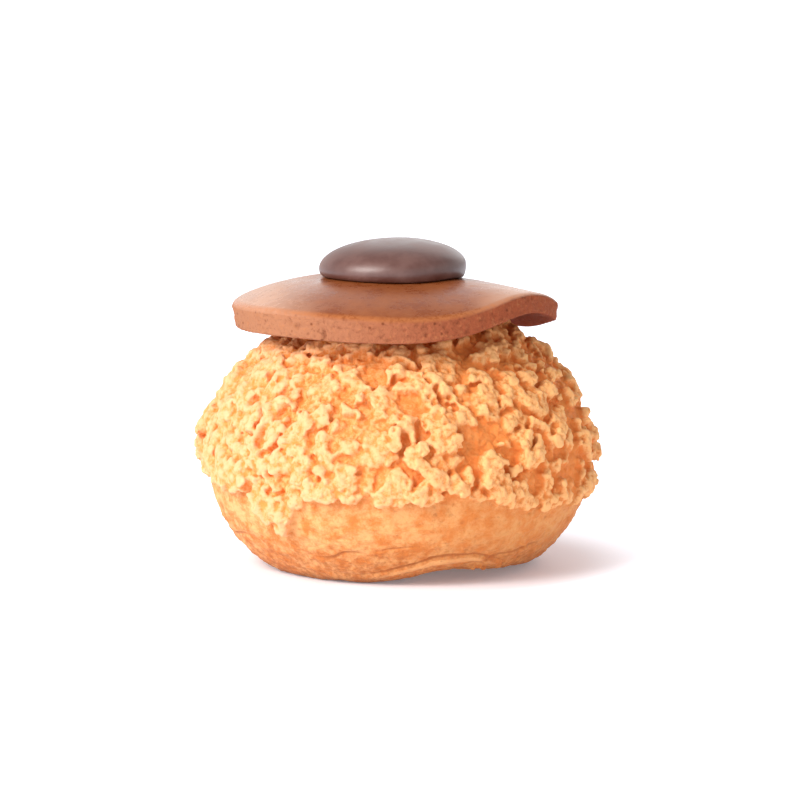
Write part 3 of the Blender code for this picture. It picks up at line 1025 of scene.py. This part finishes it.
def crust_material():
    """Pale sugary crumbs, the bare orange skin in the cracks between them, and the paler skin below, which
    darkens towards the foot. Painted shade darkens the crust's hollows, the deeper cracks, the skin's creases and
    pores and the crust just under the disc; a painted highlight lightens the lip round the foot."""
    made = Surface("craquelin", 0.7, Subsurface_Weight=0.08, Subsurface_Scale=0.0005, IOR=1.35)
    made.shader.inputs["Subsurface Radius"].default_value = (1.0, 0.45, 0.15)
    raised, over_edge, crevice, mark = map(made.attribute, ("raised", "over_edge", "crevice", "mark"))
    mottle = made.noise(2.0 * MM, 5.0, 0.7)
    fine = made.noise(0.7 * MM, 4.0, 0.65)
    speck = made.noise(0.3 * MM, 3.0, 0.65)
    to_right = made.span(made.sideways(), -20 * MM, 18 * MM)
    skin = made.mix(made.span(mottle, 0.36, 0.64), SKIN_ORANGE, made.mix(to_right, SKIN_PALE, SKIN_GOLD))
    low = made.span(made.height(), 1.0 * MM, 8.0 * MM, 0.65, 0.0)
    skin = made.mix(made.math("MULTIPLY", low, made.span(fine, 0.40, 0.60, 0.2, 1.0)), skin, SKIN_BROWN)
    skin = made.mix(made.span(fine, 0.56, 0.70, 0.0, 0.35), skin, SKIN_BROWN)
    # darker still within 1.4 mm of the table
    skin = made.mix(made.span(made.height(), 0.2 * MM, 1.4 * MM, 0.5, 0.0), skin, SKIN_BOTTOM_BROWN)
    # painted shade in the skin's creases, pores and lip groove, and a painted highlight on the lip
    skin = made.mix(made.span(mark, -0.16, -0.04, 0.7, 0.0), skin, SKIN_BROWN)
    skin = made.mix(made.span(mark, 0.06, 0.20, 0.0, 0.6), skin, SKIN_PALE)
    crack = made.mix(made.span(mottle, 0.40, 0.70), CRACK_ORANGE, CRACK_BROWN)
    crack = made.mix(to_right, CRACK_GOLD, crack)
    open_crack = made.mix(made.span(fine, 0.40, 0.62), CRACK_ORANGE, made.mix(to_right, OPEN_PALE, OPEN_TAN))
    # painted shade: the deeper parts of the cracks, by the crevice attribute, take the darker crack colours
    crack = made.mix(made.span(crevice, -0.50, -0.12), crack, open_crack)
    skin = made.mix(made.span(over_edge, -0.5, 1.5), skin, crack)
    # partly random tone and partly painted shade: hollows, by the crevice attribute, take the darker low colours
    pitted = made.math("ADD", crevice, made.math("MULTIPLY", made.math("SUBTRACT", fine, 0.5), 0.9))
    pitted = made.math("ADD", pitted, made.math("MULTIPLY", made.math("SUBTRACT", speck, 0.5), 0.5))
    crust_low = made.mix(to_right, CRUST_GOLD, CRUST_BROWN)
    crust = made.mix(made.span(pitted, -0.20, 0.20), crust_low, made.mix(to_right, CRUST_PALE, CRUST_TAN))
    # painted shade, partly also the crumbs' own deeper orange: the hollows of the crust turn deep orange
    crust = made.mix(made.span(crevice, -0.50, -0.08, 0.8, 0.0), crust, CREVICE_ORANGE)
    # painted shadow of the disc: the crust turns brown just under it
    crust = made.mix(made.span(made.height(), 27 * MM, 32 * MM, 0.0, 0.55), crust, CRUST_BROWN)
    top = made.math("ADD", raised, made.math("MULTIPLY", made.math("SUBTRACT", fine, 0.5), 0.5))
    colour = made.mix(made.span(top, 0.15, 0.7), skin, crust)
    grain = made.math("ADD", speck, made.math("MULTIPLY", made.noise(0.12 * MM), 0.5))
    return made.finish(colour, bump=grain, bump_distance=0.14 * MM)


PASTE_TOP = (0.19, 0.041, 0.009)
PASTE_BLOOM = (0.29, 0.088, 0.029)
PASTE_PAINTED_SHEEN = (0.54, 0.31, 0.215)
PASTE_SHOULDER = (0.42, 0.145, 0.052)
PASTE_CUT_PAINTED_LIT = (0.36, 0.155, 0.080)
PASTE_CUT_PAINTED_SHADE = (0.29, 0.070, 0.028)
PASTE_SPECK = (0.42, 0.160, 0.065)
PASTE_HOLE_SHADE = (0.13, 0.030, 0.010)


def milk_chocolate_material():
    """A dull sheen with a faint bloom on top, paler towards its left and right ends by a painted sheen, and a
    crumbly pinkish brown cut side with painted light on its left, painted shade on its right and in small holes.
    """
    made = Surface("milk_chocolate_paste", 0.45, IOR=1.22)
    shoulder, cut = made.attribute("shoulder"), made.attribute("cut")
    bloom = made.noise(4 * MM, 6.0, 0.75)
    fine = made.noise(0.5 * MM, 4.0, 0.7)
    colour = made.mix(made.span(bloom, 0.28, 0.72), PASTE_TOP, PASTE_BLOOM)
    # painted sheen: the top turns paler towards the disc's left and right ends
    aside = made.math("ABSOLUTE", made.sideways(), 0.0)
    rim = made.math("MULTIPLY", made.span(aside, 7 * MM, 17 * MM, 0.0, 1.1), made.span(bloom, 0.25, 0.7, 0.7, 1.0))
    colour = made.mix(rim, colour, PASTE_PAINTED_SHEEN)
    colour = made.mix(made.math("MULTIPLY", shoulder, made.span(fine, 0.3, 0.6, 0.2, 0.7)), colour, PASTE_SHOULDER)
    # painted light and shade: the cut side is lighter on the left, towards the key, and darker on the right
    side = made.mix(made.span(made.sideways(), -18 * MM, 14 * MM), PASTE_CUT_PAINTED_LIT, PASTE_CUT_PAINTED_SHADE)
    side = made.mix(made.span(fine, 0.52, 0.70, 0.0, 0.55), side, PASTE_SPECK)
    # painted shade: dark spots stand for the shade in small holes of the cut side
    side = made.mix(made.span(fine, 0.32, 0.46, 0.45, 0.0), side, PASTE_HOLE_SHADE)
    side = made.mix(made.span(made.cells(1.3 * MM), 0.05, 0.22, 0.8, 0.0), side, PASTE_HOLE_SHADE)
    colour = made.mix(cut, colour, side)
    roughness = made.math("ADD", made.span(bloom, 0.3, 0.7, 0.22, 0.36), made.math("MULTIPLY", cut, 0.55))
    rough_side = made.math("MULTIPLY", fine, made.math("ADD", 0.12, made.math("MULTIPLY", cut, 0.88)))
    return made.finish(colour, roughness, bump=rough_side, bump_distance=0.25 * MM)


DROP_DARK = (0.090, 0.034, 0.027)
DROP_BLOOM = (0.14, 0.066, 0.055)


def dark_chocolate_material():
    """Satin dark chocolate with a faint greyish bloom."""
    made = Surface("dark_chocolate", 0.38, IOR=1.62)
    cloud = made.noise(3.5 * MM, 4.0, 0.6)
    colour = made.mix(made.span(cloud, 0.35, 0.7), DROP_DARK, DROP_BLOOM)
    roughness = made.span(cloud, 0.3, 0.7, 0.32, 0.44)
    return made.finish(colour, roughness, bump=made.noise(0.4 * MM, 2.0), bump_distance=0.01 * MM)


# --- floor, light and camera ------------------------------------------------------------------------------

FLOOR_SIZE = 6.0
FLOOR_COLOUR = (0.82, 0.83, 0.90)
FLOOR_GLOW = (0.96, 0.95, 1.0)
NEAR_GLOW = 0.15
FAR_GLOW = 0.60
NEAR_RADIUS = 0.022
FAR_RADIUS = 0.034
HORIZON_LIGHT = 1.05
SKY_LIGHT = 0.40
LIT_POINT = Vector((0, 0, 0.015))
LIGHTS = (  # name, place, side, power, colour
    ("key", (-0.34, -0.32, 0.34), 0.34, 4.3, (1.0, 0.97, 0.93)),
    ("back", (0.12, 0.45, 0.26), 0.40, 0.45, (1.0, 1.0, 1.0)),
)


def make_floor():
    """A white table that glows a little away from the puff, so that it is plain white up to the horizon."""
    mesh = bpy.data.meshes.new("floor")
    half = FLOOR_SIZE / 2
    mesh.from_pydata([(-half, -half, 0), (half, -half, 0), (half, half, 0), (-half, half, 0)], [], [(0, 1, 2, 3)])
    made = Surface("white_table", 0.7)
    made.shader.inputs["Base Color"].default_value = (*FLOOR_COLOUR, 1)
    made.shader.inputs["Specular IOR Level"].default_value = 0.2
    made.shader.inputs["Emission Color"].default_value = (*FLOOR_GLOW, 1)
    outward = made.node("ShaderNodeVectorMath", operation="LENGTH")
    made.link(made.place, outward.inputs[0])
    glow = made.span(outward.outputs["Value"], NEAR_RADIUS, FAR_RADIUS, NEAR_GLOW, FAR_GLOW)
    made.link(glow, made.shader.inputs["Emission Strength"])
    mesh.materials.append(made.material)
    object_of("floor", mesh)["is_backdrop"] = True


def make_sky():
    """White all round at eye level, dimmer overhead."""
    world = bpy.data.worlds.new("studio")
    world.use_nodes = True
    nodes, links = world.node_tree.nodes, world.node_tree.links
    background = nodes["Background"]
    place = nodes.new("ShaderNodeTexCoord")
    apart = nodes.new("ShaderNodeSeparateXYZ")
    span = nodes.new("ShaderNodeMapRange")
    span.interpolation_type = "SMOOTHSTEP"
    for socket, value in zip(span.inputs[1:5], (0.28, 0.75, HORIZON_LIGHT, SKY_LIGHT)):
        socket.default_value = value
    links.new(place.outputs["Generated"], apart.inputs[0])
    links.new(apart.outputs["Z"], span.inputs[0])
    links.new(span.outputs["Result"], background.inputs["Strength"])
    background.inputs["Color"].default_value = (1, 1, 1, 1)
    bpy.context.scene.world = world


def make_lights():
    """The key from the front left, and a weak light from behind for the sheen on the chocolate."""
    for name, place, size, power, colour in LIGHTS:
        light = bpy.data.lights.new(name, "AREA")
        light.size = size
        light.energy = power
        light.color = colour
        lamp = object_of(name, light)
        lamp.location = place
        lamp.rotation_mode = "QUATERNION"
        lamp.rotation_quaternion = (LIT_POINT - Vector(place)).to_track_quat("-Z", "Y")


PIXELS_PER_MM = 8.05
IMAGE_SIDE = 800
SENSOR_WIDTH = 36
CAMERA_DISTANCE = 0.55
CAMERA_ELEVATION = math.radians(8)
FOOT_PIXEL = 562  # image row of the floor under the origin


def make_camera():
    camera = bpy.data.objects.new("camera", bpy.data.cameras.new("camera"))
    bpy.context.scene.collection.objects.link(camera)
    camera.data.sensor_width = SENSOR_WIDTH
    camera.data.lens = PIXELS_PER_MM * CAMERA_DISTANCE / MM * SENSOR_WIDTH / IMAGE_SIDE
    height = (FOOT_PIXEL - IMAGE_SIDE / 2) / (PIXELS_PER_MM * math.cos(CAMERA_ELEVATION)) * MM
    target = Vector((0.5 * MM, 0, height))
    back = Vector((0, -math.cos(CAMERA_ELEVATION), math.sin(CAMERA_ELEVATION)))
    camera.location = target + back * CAMERA_DISTANCE
    camera.rotation_mode = "QUATERNION"
    camera.rotation_quaternion = (-back).to_track_quat("-Z", "Y")
    bpy.context.scene.camera = camera


def corners(box):
    return [list(box[0]), list(box[1])]


make_camera()
make_floor()
make_sky()
make_lights()
make_bun()
make_disc()
make_drop()
bpy.context.scene.view_settings.view_transform = "Standard"
{"cad": corners(CAD_BOX), "visual": corners(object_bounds())}
